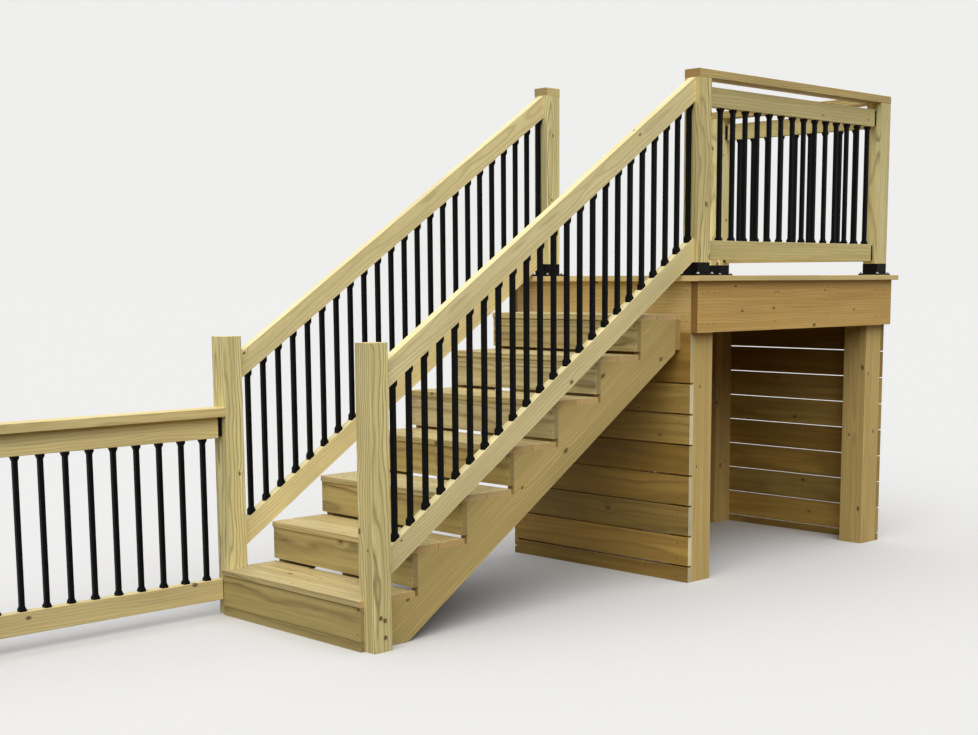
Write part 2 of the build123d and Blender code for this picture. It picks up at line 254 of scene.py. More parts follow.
@dataclass(frozen=True)
class PineFinish:
    """Pressure-treated southern pine, planed, with a green-gold cast.

    Fast-grown rings show as wide plain-sawn arches on the faces and as arcs on the cut ends. In
    the real wood they are 4 to 6 mm apart; they are drawn up to three times wider, so that they
    show at the camera's distance.
    """

    name: str
    early: str
    late: str
    stain: str
    knot: str = "5d4325"
    cut_end: str = "a8875a"
    ring_mm: float = 9.0
    ring_strength: float = 0.62
    board_spread: float = 0.16
    hue_spread: float = 0.25
    cloud_spread: float = 0.5
    roughness: float = 0.62
    knot_chance: float = 0.3
    arch: float = 0.35

    def material(self, suffix: str, grain: Grain, cells: Cells) -> bpy.types.Material:
        """Build the procedural pine for one way of grain.

        Args:
            suffix: Added to the finish's name for this use of it.
            grain: The way the fibres run.
            cells: How the boards are told apart.

        Returns:
            The finished material.
        """
        material = bpy.data.materials.new(f"{self.name}_{suffix}")
        tree = fresh_tree(material)
        board = self._board(tree, grain, cells)
        knot, pull = self._knots(tree, board)
        far = add(tree, "Math", board.chance[2], 40.0, operation="MULTIPLY")
        cloud = self._drawn_out(tree, board, WANDER_MM, far, 3.0, 0.45)
        far = add(tree, "Math", board.chance[0], 30.0, operation="MULTIPLY")
        streak = self._drawn_out(tree, board, STREAK_MM, far, 2.0, 0.6)
        fibre = self._drawn_out(tree, board, FIBRE_MM, 0.0, 2.0, 0.7)
        rings = self._rings(tree, board, cloud, pull)
        ridge = add(tree, "Math", fibre, 0.5, operation="MULTIPLY")
        height = add(tree, "Math", rings, 0.5, ridge, operation="MULTIPLY_ADD")
        relief = {"Strength": 0.35, "Distance": RELIEF_MM * MM, "Height": height}
        surface = {
            "Base Color": self._colour(tree, board, Figure(rings, streak, fibre, cloud, knot)),
            "Roughness": add(tree, "Math", rings, -0.12, self.roughness, operation="MULTIPLY_ADD"),
            "Normal": add(tree, "Bump", links=relief),
            "IOR": 1.45,
            "Specular IOR Level": 0.35,
        }
        add(tree, "OutputMaterial", add(tree, "BsdfPrincipled", links=surface))
        return material

    @staticmethod
    def _board(tree: bpy.types.NodeTree, grain: Grain, cells: Cells) -> Board:
        """Work out which board a point is on, and where on it.

        Args:
            tree: The material's tree.
            grain: The way the fibres run.
            cells: How the boards are told apart.

        Returns:
            The point's place within its board.
        """
        where = add(tree, "TexCoord", out="Object")
        facing = add(tree, "NewGeometry", out="Normal")
        where = add(tree, "VectorMath", where, tuple(place(*cells.origin)), operation="SUBTRACT")
        if grain is Grain.SLOPING:
            turn = {"Axis": (1.0, 0.0, 0.0), "Angle": -PITCH_ANGLE}
            where = add(tree, "VectorRotate", links={"Vector": where, **turn})
            facing = add(tree, "VectorRotate", links={"Vector": facing, **turn})
        x, y, z = add(tree, "SeparateXYZ", where).node.outputs
        wide, long, high = (value * MM for value in cells.pitch)
        row = add(tree, "Math", add(tree, "Math", z, high, operation="DIVIDE"), operation="FLOOR")
        y = add(tree, "Math", row, -cells.shear * MM, y, operation="MULTIPLY_ADD")
        numbers, inside = [], []
        for value, pitch in ((x, wide), (y, long), (z, high)):
            number = add(tree, "Math", add(tree, "Math", value, pitch, operation="DIVIDE"), operation="FLOOR")
            middle = add(tree, "Math", number, pitch, pitch / 2, operation="MULTIPLY_ADD")
            inside.append(add(tree, "Math", value, middle, operation="SUBTRACT"))
            numbers.append(number)
        cell = add(tree, "CombineXYZ", *numbers)
        seed = add(tree, "TexWhiteNoise", cell, out="Color", noise_dimensions="3D")
        order = {Grain.ALONG_X: (0, 1, 2), Grain.ALONG_Z: (2, 0, 1)}.get(grain, (1, 0, 2))
        ends = add(tree, "SeparateXYZ", facing).node.outputs[order[0]]
        ends = add(tree, "Math", ends, operation="ABSOLUTE")
        return Board(
            *(inside[index] for index in order),
            chance=add(tree, "SeparateXYZ", seed).node.outputs,
            end=add(tree, "MapRange", ends, 0.75, 0.95),
        )

    @staticmethod
    def _drawn_out(
        tree: bpy.types.NodeTree,
        board: Board,
        size: tuple[float, float],
        shift: Socket | float,
        detail: float,
        roughness: float,
    ) -> Socket:
        """Draw noise out along the fibres.

        Args:
            tree: The material's tree.
            board: The point's place within its board.
            size: Length and width of the pattern in millimetres.
            shift: Moves the pattern along, so that no two boards are alike.
            detail: How many finer layers the noise has.
            roughness: How strong the finer layers are.

        Returns:
            The noise, which is about a half on average.
        """
        long, wide = (1.0 / (value * MM) for value in size)
        point = add(
            tree,
            "CombineXYZ",
            add(tree, "Math", board.along, long, shift, operation="MULTIPLY_ADD"),
            add(tree, "Math", board.across, wide, operation="MULTIPLY"),
            add(tree, "Math", board.depth, wide, operation="MULTIPLY"),
        )
        return add(
            tree, "TexNoise", links={"Vector": point, "Scale": 1.0, "Detail": detail, "Roughness": roughness}
        )

    def _knots(self, tree: bpy.types.NodeTree, board: Board) -> tuple[Socket, Socket]:
        """Scatter round knots over the faces, each of which bends the rings near it.

        Args:
            tree: The material's tree.
            board: The point's place within its board.

        Returns:
            One on a knot, and how far the rings are bent here in metres.
        """
        long, wide = (value * MM for value in KNOT_PATCH_MM)
        least, most = (value * MM for value in KNOT_RADIUS_MM)
        sideways = add(tree, "Math", board.across, board.depth, operation="ADD")
        wrap = add(tree, "Math", board.chance[1], 7.0, sideways, operation="MULTIPLY_ADD")
        run = add(tree, "Math", board.chance[0], 11.0, board.along, operation="MULTIPLY_ADD")
        spot = add(tree, "CombineXYZ", run, wrap)
        spot = add(tree, "VectorMath", spot, (long, wide, 1.0), operation="DIVIDE")
        patches = add(tree, "TexVoronoi", spot, links={"Scale": 1.0}, voronoi_dimensions="2D").node.outputs
        away = add(tree, "VectorMath", spot, patches["Position"], operation="SUBTRACT")
        # The way along counts for less, so that knots come out longer than they are wide
        away = add(tree, "VectorMath", away, (long * 0.62, wide, 1.0), operation="MULTIPLY")
        distance = add(tree, "VectorMath", away, out="Value", operation="LENGTH")
        odds = add(tree, "SeparateXYZ", patches["Color"]).node.outputs
        there = add(tree, "Math", odds[0], self.knot_chance, operation="LESS_THAN")
        radius = add(tree, "Math", odds[1], most - least, least, operation="MULTIPLY_ADD")
        inner, outer, reach = (
            add(tree, "Math", radius, share, operation="MULTIPLY") for share in (0.55, 1.25, 2.2)
        )
        edge = add(tree, "MapRange", distance, inner, outer, 1.0, 0.0, interpolation_type="SMOOTHSTEP")
        near = add(tree, "Math", distance, reach, operation="DIVIDE")
        near = add(tree, "Math", near, near, operation="MULTIPLY")
        near = add(tree, "Math", near, -1.0, operation="MULTIPLY")
        near = add(tree, "Math", near, operation="EXPONENT")
        pull = add(tree, "Math", near, KNOT_BEND_MM * MM, operation="MULTIPLY")
        return tuple(add(tree, "Math", value, there, operation="MULTIPLY") for value in (edge, pull))

    def _rings(self, tree: bpy.types.NodeTree, board: Board, cloud: Socket, pull: Socket) -> Socket:
        """Cut growth rings around a pith line that wanders beside the board.

        Args:
            tree: The material's tree.
            board: The point's place within its board.
            cloud: The slow noise that the pith wanders by.
            pull: How far a knot bends the rings here.

        Returns:
            The rings, from zero in early wood to one in late wood.
        """
        side, sway = PITH_SIDE_MM * MM, PITH_SWAY_MM * MM * self.arch
        near, far = (value * MM for value in PITH_BACK_MM)
        pith_across = add(tree, "Math", board.chance[0], 2 * side, -side, operation="MULTIPLY_ADD")
        pith_depth = add(tree, "Math", board.chance[1], near - far, -near, operation="MULTIPLY_ADD")
        sway = add(tree, "Math", cloud, sway, -sway / 2, operation="MULTIPLY_ADD")
        across = add(tree, "Math", board.across, pith_across, operation="SUBTRACT")
        depth = add(tree, "Math", board.depth, pith_depth, operation="SUBTRACT")
        across = add(tree, "Math", across, across, operation="MULTIPLY")
        square = add(tree, "Math", depth, depth, across, operation="MULTIPLY_ADD")
        radius = add(tree, "Math", square, operation="SQRT")
        for bend in (sway, pull):
            radius = add(tree, "Math", radius, bend, operation="ADD")
        count = add(tree, "Math", radius, self.ring_mm * MM, operation="DIVIDE")
        rings = add(tree, "ValToRGB", add(tree, "Math", count, operation="FRACT"))
        stops = rings.node.color_ramp.elements
        while len(stops) < len(RING_STOPS):
            stops.new(0.5)
        for stop, (position, level) in zip(stops, RING_STOPS):
            stop.position = position
            stop.color = (level, level, level, 1.0)
        return rings

    def _colour(self, tree: bpy.types.NodeTree, board: Board, figure: Figure) -> Socket:
        """Lay stain, rings, the board's tone, the cut end and the knots over one another.

        Args:
            tree: The material's tree.
            board: The point's place within its board.
            figure: The patterns of its face.

        Returns:
            The colour.
        """
        fleck = add(tree, "Math", figure.fibre, 0.24, 0.88, operation="MULTIPLY_ADD")
        spread = self.cloud_spread
        blotch = add(tree, "Math", figure.cloud, spread, 1.0 - spread / 2, operation="MULTIPLY_ADD")
        spread = self.board_spread
        level = add(tree, "Math", board.chance[2], -spread, 1.0 + spread / 2, operation="MULTIPLY_ADD")
        tone = add(tree, "Math", fleck, blotch, operation="MULTIPLY")
        tone = add(tree, "Math", tone, level, operation="MULTIPLY")
        spread = self.hue_spread
        cool = add(tree, "Math", board.chance[0], spread, 1.0 - spread / 2, operation="MULTIPLY_ADD")
        cooler = add(tree, "Math", cool, 0.3, 0.7, operation="MULTIPLY_ADD")
        green, blue = (add(tree, "Math", tone, hue, operation="MULTIPLY") for hue in (cooler, cool))
        tint = add(tree, "CombineColor", tone, green, blue)
        sawn = {0: 1.0, 6: linear(self.cut_end), 7: tint}
        sawn = add(tree, "Mix", out=2, links=sawn, data_type="RGBA", blend_type="MULTIPLY")
        most, least = self.ring_strength, self.ring_strength * 0.35
        shown = add(tree, "MapRange", figure.streak, 0.3, 0.62, most, least)
        colour = linear(self.early)
        for amount, layer, blend in (
            (add(tree, "MapRange", figure.streak, 0.36, 0.66, 0.0, 0.65), linear(self.stain), "MIX"),
            (add(tree, "Math", figure.rings, shown, operation="MULTIPLY"), linear(self.late), "MIX"),
            (1.0, tint, "MULTIPLY"),
            (add(tree, "Math", board.end, 0.8, operation="MULTIPLY"), sawn, "MIX"),
            (add(tree, "Math", figure.knot, 0.85, operation="MULTIPLY"), linear(self.knot), "MIX"),
        ):
            both = {0: amount, 6: colour, 7: layer}
            colour = add(tree, "Mix", out=2, links=both, data_type="RGBA", blend_type=blend)
        return colour


@dataclass(frozen=True)
class CoatFinish:
    """Powder-coated or plated metal: an even skin with a faint orange-peel texture.

    Real orange peel is about 0.5 mm from bump to bump; it is drawn a little coarser to show.
    """

    name: str
    colour: str
    metallic: float
    roughness: float
    grit_mm: float = 1.2
    shine: float = 0.3

    def material(self) -> bpy.types.Material:
        """Build the material with its grain worked out from the grit size.

        Returns:
            The finished material.
        """
        material = bpy.data.materials.new(self.name)
        tree = fresh_tree(material)
        where = add(tree, "TexCoord", out="Object")
        fine = {"Vector": where, "Scale": 1.0 / (self.grit_mm * MM), "Detail": 1.0}
        peel = add(tree, "TexNoise", links=fine)
        coarse = {"Vector": where, "Scale": 1.0 / (DUST_MM * MM), "Detail": 4.0}
        dust = add(tree, "TexNoise", links=coarse)
        dusty = Vector(linear(self.colour)[:3]) * 0.9 + Vector((0.002, 0.002, 0.0018))
        colours = {0: add(tree, "MapRange", dust, 0.4, 0.7), 6: linear(self.colour), 7: (*dusty, 1.0)}
        surface = {
            "Base Color": add(tree, "Mix", out=2, links=colours, data_type="RGBA"),
            "Roughness": add(tree, "Math", dust, 0.1, self.roughness - 0.05, operation="MULTIPLY_ADD"),
            "Normal": add(tree, "Bump", links={"Strength": 0.12, "Distance": PEEL_MM * MM, "Height": peel}),
            "Metallic": self.metallic,
            "Specular IOR Level": self.shine,
        }
        add(tree, "OutputMaterial", add(tree, "BsdfPrincipled", links=surface))
        return material


def new_piece(name: str, mesh: bmesh.types.BMesh, material: bpy.types.Material | None) -> bpy.types.Object:
    """Turn a bmesh into a linked object at the origin.

    Args:
        name: The piece's name.
        mesh: The shape, in metres in the part's frame; it is freed.
        material: The finish, or None for a shape that is only repeated.

    Returns:
        The new object.
    """
    data = bpy.data.meshes.new(name)
    mesh.to_mesh(data)
    mesh.free()
    piece = bpy.data.objects.new(name, data)
    if material is not None:
        data.materials.append(material)
    bpy.context.scene.collection.objects.link(piece)
    return piece


def turned_shape(name: str, profile: list[tuple[float, float]], sides: int) -> bpy.types.Object:
    """Turn a profile of (radius, height) points in millimetres round the upright axis.

    Args:
        name: The name of the shape.
        profile: Points from the middle of the foot to the middle of the top.
        sides: How many sides the turned shape has.

    Returns:
        The shape that the repeater copies.
    """
    mesh = bmesh.new()
    rings = []
    for radius, height in profile:
        if radius == 0:
            rings.append([mesh.verts.new((0, 0, height * MM))])
            continue
        ring = []
        for index in range(sides):
            angle = 2 * math.pi * index / sides
            x, y = radius * MM * math.cos(angle), radius * MM * math.sin(angle)
            ring.append(mesh.verts.new((x, y, height * MM)))
        rings.append(ring)
    for lower, upper in zip(rings, rings[1:]):
        for index in range(sides):
            after = (index + 1) % sides
            corners = [lower[index % len(lower)], lower[after % len(lower)]]
            corners += [upper[after % len(upper)], upper[index % len(upper)]]
            mesh.faces.new(list(dict.fromkeys(corners)))
    bmesh.ops.recalc_face_normals(mesh, faces=mesh.faces)
    return new_piece(name, mesh, None)


def bridge(mesh: bmesh.types.BMesh, loops: list[list[bmesh.types.BMVert]]) -> None:
    """Join each loop of corners to the next with four-sided faces.

    Args:
        mesh: The mesh that gets the faces.
        loops: Closed loops, each with as many corners as the others.
    """
    for lower, upper in zip(loops, loops[1:]):
        for index in range(len(lower)):
            after = (index + 1) % len(lower)
            mesh.faces.new((lower[index], lower[after], upper[after], upper[index]))


def collar_shape(
    name: str, rings: list[tuple[float, float]], slope: float = 0.0, hanging: bool = False
) -> bpy.types.Object:
    """Build a square collar with trimmed corners, to be repeated.

    Args:
        name: The name of the shape.
        rings: Half width and height in millimetres of each ring, from the rail outwards.
        slope: Rise per run along y of the rail that the first ring lies on; the others are level.
        hanging: Turn the collar over, so that it hangs under a rail.

    Returns:
        The shape that the repeater copies.
    """
    mesh = bmesh.new()
    loops = []
    for level, (half, height) in enumerate(rings):
        near = half - CORNER_TRIM
        corners = [(half, -near), (half, near), (near, half), (-near, half)]
        corners += [(-half, near), (-half, -near), (-near, -half), (near, -half)]
        lean = slope if level == 0 else 0.0
        loops.append([mesh.verts.new(Vector((x, y, height + lean * y)) * MM) for x, y in corners])
    bridge(mesh, loops)
    mesh.faces.new(list(reversed(loops[0])))
    mesh.faces.new(loops[-1])
    if hanging:
        bmesh.ops.rotate(mesh, verts=mesh.verts, matrix=Matrix.Rotation(math.pi, 3, "X"))
    bmesh.ops.recalc_face_normals(mesh, faces=mesh.faces)
    return new_piece(name, mesh, None)


class Repeater:
    """A Geometry Nodes tree that sets one shape on each point of a host mesh."""

    def __init__(self) -> None:
        """Build the tree with its named inputs."""
        self.tree = tree = bpy.data.node_groups.new("repeat_on_points", "GeometryNodeTree")
        sockets = {}
        for name, kind in (
            ("Geometry", "Geometry"),
            ("Shape", "Object"),
            ("Finish", "Material"),
            ("Turn spread", "Float"),
            ("Seed", "Int"),
        ):
            made = tree.interface.new_socket(name, in_out="INPUT", socket_type="NodeSocket" + kind)
            sockets[name] = made.identifier
        self.sockets = sockets
        tree.interface.new_socket("Geometry", in_out="OUTPUT", socket_type="NodeSocketGeometry")
        given = add(tree, "NodeGroupInput").node.outputs
        shape = add(tree, "GeometryNodeObjectInfo", out="Geometry", links={"Object": given["Shape"]})
        facing = add(
            tree,
            "GeometryNodeInputNamedAttribute",
            out="Attribute",
            links={"Name": "facing"},
            data_type="FLOAT_VECTOR",
        )
        aim = add(tree, "FunctionNodeAlignRotationToVector", links={"Vector": facing}, axis="Z")
        limits = {2: 0.0, 3: given["Turn spread"], "Seed": given["Seed"]}
        angle = add(tree, "FunctionNodeRandomValue", out=1, links=limits, data_type="FLOAT")
        spin = {"Axis": (0.0, 0.0, 1.0), "Angle": angle}
        spin = add(tree, "FunctionNodeAxisAngleToRotation", links=spin)
        turned = {"Rotation": aim, "Rotate By": spin}
        turned = add(tree, "FunctionNodeRotateRotation", links=turned, rotation_space="LOCAL")
        points = {"Points": given["Geometry"], "Instance": shape, "Rotation": turned}
        copies = add(tree, "GeometryNodeInstanceOnPoints", links=points)
        copies = add(tree, "GeometryNodeRealizeInstances", copies)
        finished = {"Geometry": copies, "Material": given["Finish"]}
        add(tree, "NodeGroupOutput", add(tree, "GeometryNodeSetMaterial", links=finished))

    def scatter(
        self,
        name: str,
        spots: Spots,
        shape: bpy.types.Object,
        material: bpy.types.Material,
        spread: float = 0.0,
        seed: int = 1,
    ) -> bpy.types.Object:
        """Set a shape on each spot and return it as one plain mesh.

        Args:
            name: The name of the finished piece.
            spots: Each place in metres with the way the shape's top faces.
            shape: The shape that is repeated.
            material: The finish of every copy.
            spread: The largest random turn about the facing axis, in radians.
            seed: Fixes the random turns.

        Returns:
            The finished piece, which rides on the body.
        """
        data = bpy.data.meshes.new(name + "_points")
        data.from_pydata([tuple(spot) for spot, _ in spots], [], [])
        facing = data.attributes.new("facing", "FLOAT_VECTOR", "POINT")
        facing.data.foreach_set("vector", [value for _, way in spots for value in way])
        host = bpy.data.objects.new(name + "_host", data)
        bpy.context.scene.collection.objects.link(host)
        modifier = host.modifiers.new("repeat", "NODES")
        modifier.node_group = self.tree
        for key, value in (("Shape", shape), ("Finish", material), ("Turn spread", spread), ("Seed", seed)):
            modifier[self.sockets[key]] = value
        host.update_tag()
        bpy.context.view_layer.update()
        graph = bpy.context.evaluated_depsgraph_get()
        finished = bpy.data.meshes.new_from_object(host.evaluated_get(graph), depsgraph=graph)
        finished.name = name
        piece = bpy.data.objects.new(name, finished)
        bpy.context.scene.collection.objects.link(piece)
        host.modifiers.remove(modifier)
        bpy.data.objects.remove(host)
        if not finished.materials:
            finished.materials.append(material)
        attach(piece, BODY)
        LOG.info("%s: %d copies, %d faces", name, len(spots), len(finished.polygons))
        return piece


@dataclass
class Workshop:
    """What every sub-assembly is built with."""

    frame: dict
    repeater: Repeater
    coats: dict[str, bpy.types.Material]

    def dress(self, names: list[str], material: bpy.types.Material) -> None:
        """Give CAD nodes a finish.

        Args:
            names: The nodes.
            material: Their finish.
        """
        for name in names:
            data = self.frame["nodes"][name].data
            data.materials.clear()
            data.materials.append(material)
            LOG.info("%s: %s", name, material.name)

    def saw(self, names: list[str], pine: PineFinish, suffix: str, grain: Grain, cells: Cells) -> None:
        """Give CAD nodes a pine that is cut for them.

        Args:
            names: The nodes.
            pine: The finish.
            suffix: Added to the finish's name for these nodes.
            grain: The way their fibres run.
            cells: How their boards are told apart.
        """
        self.dress(names, pine.material(suffix, grain, cells))

    def drive(self, name: str, spots: Spots, screw: bpy.types.Object, seed: int) -> bpy.types.Object:
        """Set a screw on each spot, each turned at random.

        Args:
            name: The name of the finished piece.
            spots: Each place in metres with the way the head faces.
            screw: The screw head that is repeated.
            seed: Fixes the random turns.

        Returns:
            The finished piece.
        """
        return self.repeater.scatter(name, spots, screw, self.coats["screw"], FULL_TURN, seed)


# Planed boards that are walked on: pale gold with fine straight grain and a warm sawn end
TREAD_PINE = PineFinish(
    "treated_pine_treads",
    early="d8c68e",
    late="806430",
    stain="ad9860",
    cut_end="ceac72",
    ring_mm=8.0,
    ring_strength=0.9,
    arch=0.16,
)
# A paler batch of the same boards for the landing's floor: straw yellow with light edges
FLOOR_PINE = replace(
    TREAD_PINE,
    name="treated_pine_landing_floor",
    early="e8d08e",
    late="ae8c50",
    stain="d6bd7e",
    cut_end="f0d698",
)
# Quarter-sawn face boards: close dark lines on olive gold, with few knots
RISER_PINE = PineFinish(
    "treated_pine_risers",
    early="c9b575",
    late="664a24",
    stain="a08a50",
    cut_end="9c8654",
    ring_mm=6.5,
    ring_strength=0.9,
    board_spread=0.14,
    cloud_spread=0.3,
    knot_chance=0.12,
    arch=0.14,
)
# A greyer batch of the same boards, which closes the three upper steps
UPPER_RISER_PINE = replace(
    RISER_PINE, name="treated_pine_upper_risers", early="d5c592", late="6c512d", stain="aa9664"
)
# Wide frame boards: honey brown with broad soft arches, knots and a dark sawn end
FACING_PINE = PineFinish(
    "treated_pine_facings",
    early="e0ba6e",
    late="94682e",
    stain="c49a50",
    cut_end="7a5222",
    ring_mm=16.0,
    ring_strength=0.5,
    board_spread=0.12,
    knot_chance=0.45,
    arch=0.8,
)
# The boards across the landing's front and back: the same figure, a little greyer
HEADER_PINE = replace(
    FACING_PINE, name="treated_pine_headers", early="dec07e", late="96703a", stain="c2a262"
)
# Closing boards from mixed bundles: each its own tone from straw to brown, with pale sawn ends; every tone is
# also darkened as painted shade from the flight and the landing above
SKIRT_PINE_WITH_PAINTED_SHADE = PineFinish(
    "treated_pine_closing_boards",
    early="c29d50",
    late="725022",
    stain="9e7a38",
    cut_end="ece0b4",
    ring_mm=11.0,
    ring_strength=0.6,
    board_spread=0.5,
    hue_spread=0.5,
    arch=0.2,
)
# The same boards, with the same painted shade in their colour, and darker sawn ends, which show at the
# landing's corners
WALL_PINE_WITH_PAINTED_SHADE = replace(SKIRT_PINE_WITH_PAINTED_SHADE, name="treated_pine_wall_boards_painted_shade", cut_end="a98c4c")
# Posts cut near the heart: pale cream with bold dark arches and knots
POST_PINE = PineFinish(
    "treated_pine_posts",
    early="f2e6aa",
    late="705628",
    stain="bfac6e",
    cut_end="d9c890",
    ring_mm=13.0,
    ring_strength=0.85,
    knot_chance=0.5,
    arch=0.9,
)
# Thick legs: warm tan with quiet, wide figure
LEG_PINE = PineFinish(
    "treated_pine_legs",
    early="e2c47c",
    late="94703a",
    stain="c8a864",
    ring_mm=13.0,
    ring_strength=0.5,
    knot_chance=0.2,
    arch=0.6,
)
# Clear rail stock: the palest cream, with long soft figure and hardly a change of hue
RAIL_PINE = PineFinish(
    "treated_pine_stair_rails",
    early="f7e6ab",
    late="a48c52",
    stain="e2d092",
    cut_end="b39a62",
    ring_mm=14.0,
    ring_strength=0.5,
    hue_spread=0.12,
    arch=0.7,
)
# Rail stock with more of the treatment's green in it
GUARD_PINE = replace(
    RAIL_PINE, name="treated_pine_guard_rails", early="d8c88c", late="8d7a46", stain="bfad70"
)
# Rail stock between the two in depth, for the lower guard
LOWER_PINE = replace(
    RAIL_PINE, name="treated_pine_lower_guard", early="ecd898", late="9c8450", stain="d6c082"
)
# Caps: darker, closer grain that has caught more sun
CAP_PINE = replace(
    RAIL_PINE,
    name="treated_pine_caps",
    early="dac280",
    late="745628",
    stain="b4965a",
    cut_end="a07e48",
    ring_mm=9.0,
    ring_strength=0.8,
)
# Framing lumber: dull straw with broad arches, few knots
FRAME_PINE = PineFinish(
    "treated_pine_framing",
    early="cdb87a",
    late="8c7240",
    stain="b49e62",
    cut_end="b08f58",
    ring_mm=14.0,
    ring_strength=0.5,
    knot_chance=0.2,
    arch=0.8,
)
# Powder coat on extruded tube: a deep black skin that only just shines along its corners
BLACK_TUBE = CoatFinish("black_powder_coated_aluminium", "060607", metallic=0.0, roughness=0.45, shine=0.07)
# Powder coat on formed steel: the same black, a shade duller
BLACK_STEEL = CoatFinish("black_powder_coated_steel", "080809", metallic=0.0, roughness=0.5, shine=0.1)
# Moulded nylon: black with a soft, dry surface
BLACK_PLASTIC = CoatFinish("black_moulded_nylon", "060606", metallic=0.0, roughness=0.6, shine=0.08)
# Bronze coating on steel: brown dots with a faint metal gleam
BRONZE_SCREW = CoatFinish("bronze_coated_screw", "7a633c", metallic=0.3, roughness=0.55)
# Hot-dip zinc: light grey metal with a rough gleam
ZINC_BOLT = CoatFinish("hot_dip_zinc_bolt", "b9bcbd", metallic=0.85, roughness=0.42)


@dataclass
class Flight:
    """Treads, risers and stringers with their screws."""

    screw_rows: tuple[float, ...] = (-19.0, -465.5, -912.0)
    screw_inset: float = 28.0
    strip_top: float = 37.0
    riser_high: float = 137.0
    pale_risers: int = 3

    def dress(self, shop: Workshop) -> None:
        """Give the boards of the flight their pine.

        Args:
            shop: The workshop with the CAD nodes.
        """
        treads = Cells((-2000, -NOSING - 2.0, FIRST_RISE - RISE / 2), (9000, BOARD_PITCH, RISE), shear=RUN)
        risers = Cells((-2000, -3000, self.strip_top - RISE), (9000, 9000, RISE))
        stringers = Cells((-1200, -3000, -3000), (450, 9000, 9000))
        steps = range(1, TREADS + 1)
        faces = [f"riser_{step}" for step in steps]
        shop.saw([f"tread_{step}" for step in steps], TREAD_PINE, "treads", Grain.ALONG_X, treads)
        shop.saw(faces[:-self.pale_risers], RISER_PINE, "risers", Grain.ALONG_X, risers)
        shop.saw(faces[-self.pale_risers:], UPPER_RISER_PINE, "risers", Grain.ALONG_X, risers)
        sides = [f"stringer_{side}" for side in ("right", "middle", "left")]
        shop.saw(sides, FRAME_PINE, "stringers", Grain.SLOPING, stringers)
        shop.saw(["stringer_hanger"], FRAME_PINE, "hanger", Grain.ALONG_X, Cells())

    def fasten(self, shop: Workshop, screw: bpy.types.Object) -> None:
        """Drive screws through the treads at each stringer and through the risers at the outer ones.

        Args:
            shop: The workshop with the repeater and coats.
            screw: The screw head that is repeated.
        """
        inset = self.screw_inset
        tread_spots, riser_spots = [], []
        for step in range(1, TREADS + 1):
            front = (step - 1) * RUN - NOSING
            top = FIRST_RISE + (step - 1) * RISE
            low = top - BOARD_THICK - self.riser_high
            for x in self.screw_rows:
                for behind in (inset, BOARD_WIDE - inset, BOARD_PITCH + inset):
                    tread_spots.append((place(x, front + behind, top), UP))
                if x == self.screw_rows[1]:
                    continue
                for z in (low + inset, low + self.riser_high - inset):
                    riser_spots.append((place(x, (step - 1) * RUN, z), FRONT))
        tread_piece = shop.drive("tread_screws", tread_spots, screw, 3)
        riser_piece = shop.drive("riser_screws", riser_spots, screw, 5)


